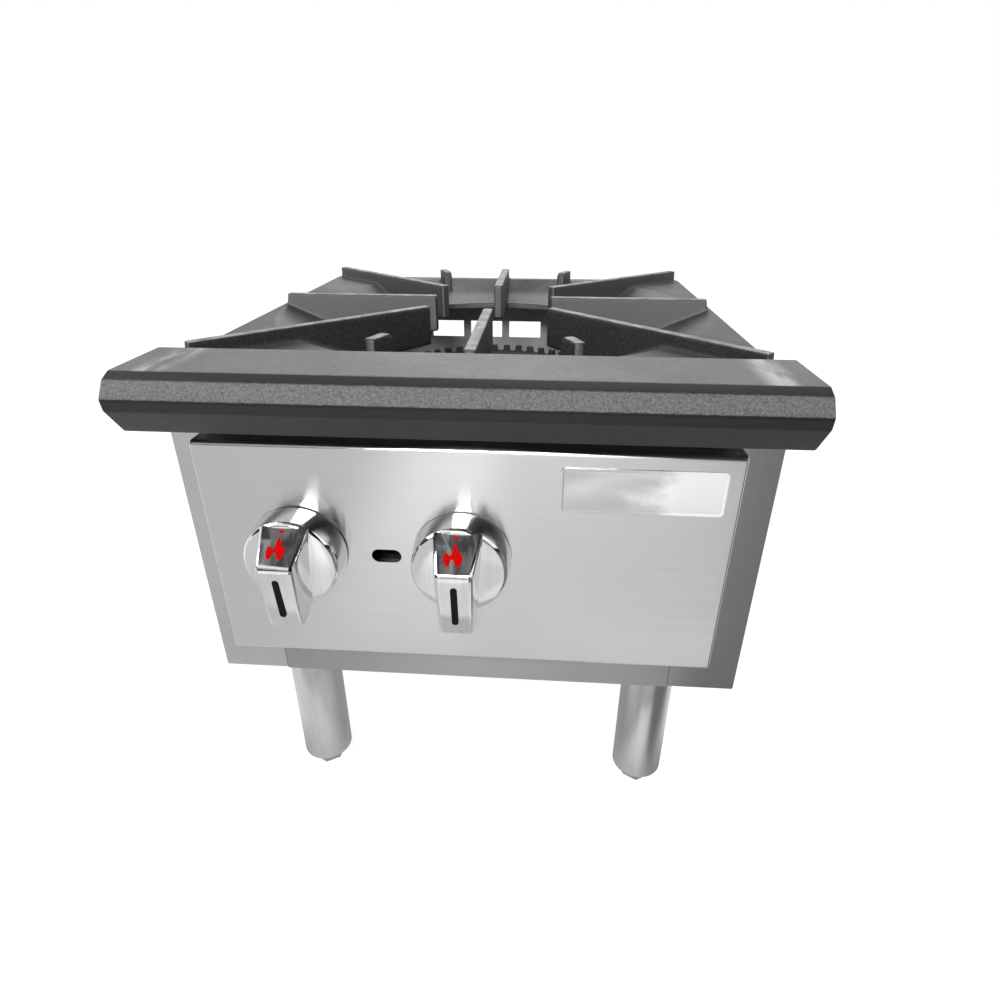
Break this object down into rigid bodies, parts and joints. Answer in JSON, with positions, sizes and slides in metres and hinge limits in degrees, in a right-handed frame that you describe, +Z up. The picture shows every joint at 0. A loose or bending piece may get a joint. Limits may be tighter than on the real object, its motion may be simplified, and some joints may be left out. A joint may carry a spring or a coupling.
{
  "type": "stock pot range",
  "caption": "Gas stock pot range: a folded steel cabinet on short levelling legs holds a two-ring burner with its valves under a lift-off cast iron grate, above a pull-out drip tray.",
  "frame": {"origin": "on the floor, under the middle of the range's footprint", "axes": "+Z up, -Y towards the cook and the knobs, +X to the cook's right"},
  "size_m": [0.457, 0.574, 0.4444],
  "materials": {
    "stainless": "satin brushed stainless",
    "side_steel": "satin brushed stainless",
    "coated_steel": "dull aluminised steel",
    "chrome": "polished, lightly marked",
    "plated_leg": "plated, softly polished",
    "grate_iron": "rough cast, seasoned",
    "rail_iron": "rough cast, worn",
    "burner_iron": "rough cast, sooty",
    "brass": "machined",
    "black_pipe": "matt black pipe",
    "zinc": "zinc plated",
    "aluminium": "drawn tube",
    "plate": "bright blank plate"
  },
  "bodies": {
    "cabinet": {"front_base_channel": "stainless", "back_panel": "stainless", "control_panel": "stainless", "left_side_panel": "side_steel", "right_side_panel": "side_steel", "rear_base_channel": "coated_steel", "front_header": "coated_steel", "lower_cross_rail": "coated_steel", "heat_shield": "coated_steel", "tray_runner_left": "coated_steel", "tray_runner_right": "coated_steel", "manifold_bracket_left": "coated_steel", "manifold_bracket_right": "coated_steel", "pilot_bracket": "coated_steel", "front_burner_strap": "coated_steel", "rear_burner_strap": "coated_steel", "leg_front_left": "plated_leg", "leg_front_right": "plated_leg", "leg_rear_left": "plated_leg", "leg_rear_right": "plated_leg", "front_landing_rail": "rail_iron", "outer_burner_ring": "burner_iron", "outer_burner_cap": "burner_iron", "inner_burner_ring": "burner_iron", "inner_burner_cap": "burner_iron", "outer_mixing_tube": "burner_iron", "inner_mixing_tube": "burner_iron", "outer_valve_body": "brass", "outer_orifice_hood": "brass", "inner_valve_body": "brass", "inner_orifice_hood": "brass", "pilot_valve": "brass", "pilot_burner": "brass", "gas_manifold": "black_pipe", "supply_pipe": "black_pipe", "gas_inlet": "zinc", "panel_screw_top_left": "zinc", "panel_screw_top_right": "zinc", "panel_screw_bottom_left": "zinc", "panel_screw_bottom_right": "zinc", "rail_bolt_1": "zinc", "rail_bolt_2": "zinc", "rail_bolt_3": "zinc", "rail_bolt_4": "zinc", "pilot_tube": "aluminium", "name_plate": "plate"},
    "left_knob": {"knob_left": "chrome", "outer_valve_stem": "brass"},
    "right_knob": {"knob_right": "chrome", "inner_valve_stem": "brass"},
    "tray": {"drip_tray": "stainless"},
    "grate": {"top_grate": "grate_iron"},
    "outer_shutter": {"outer_air_shutter": "zinc"},
    "inner_shutter": {"inner_air_shutter": "zinc"},
    "pilot_screw": {"pilot_adjust_screw": "zinc"},
    "front_left_foot": {"foot_front_left": "plated_leg"},
    "front_right_foot": {"foot_front_right": "plated_leg"},
    "rear_left_foot": {"foot_rear_left": "plated_leg"},
    "rear_right_foot": {"foot_rear_right": "plated_leg"}
  },
  "joints": [
    {"name": "left_knob_turn", "type": "hinge", "parent": "cabinet", "child": "left_knob", "pos_m": [-0.1217, -0.238, 0.3085], "axis": [0, -1, 0], "range_deg": [0, 90]},
    {"name": "right_knob_turn", "type": "hinge", "parent": "cabinet", "child": "right_knob", "pos_m": [-0.0015, -0.238, 0.3085], "axis": [0, -1, 0], "range_deg": [0, 90]},
    {"name": "drip_tray_slide", "type": "slide", "parent": "cabinet", "child": "tray", "axis": [0, -1, 0], "range_m": [0, 0.36]},
    {"name": "grate_lift", "type": "slide", "parent": "cabinet", "child": "grate", "axis": [0, 0, 1], "range_m": [0, 0.15]},
    {"name": "outer_shutter_turn", "type": "hinge", "parent": "cabinet", "child": "outer_shutter", "pos_m": [-0.1217, -0.159, 0.3085], "axis": [0, -1, 0], "range_deg": [0, 45]},
    {"name": "inner_shutter_turn", "type": "hinge", "parent": "cabinet", "child": "inner_shutter", "pos_m": [-0.0015, -0.159, 0.3085], "axis": [0, -1, 0], "range_deg": [0, 45]},
    {"name": "pilot_screw_turn", "type": "hinge", "parent": "cabinet", "child": "pilot_screw", "pos_m": [-0.0573, -0.212, 0.3058], "axis": [0, -1, 0], "range_deg": [0, 450]},
    {"name": "front_left_foot_level", "type": "slide", "parent": "cabinet", "child": "front_left_foot", "axis": [0, 0, -1], "range_m": [0, 0.025]},
    {"name": "front_right_foot_level", "type": "slide", "parent": "cabinet", "child": "front_right_foot", "axis": [0, 0, -1], "range_m": [0, 0.025]},
    {"name": "rear_left_foot_level", "type": "slide", "parent": "cabinet", "child": "rear_left_foot", "axis": [0, 0, -1], "range_m": [0, 0.025]},
    {"name": "rear_right_foot_level", "type": "slide", "parent": "cabinet", "child": "rear_right_foot", "axis": [0, 0, -1], "range_m": [0, 0.025]}
  ]
}
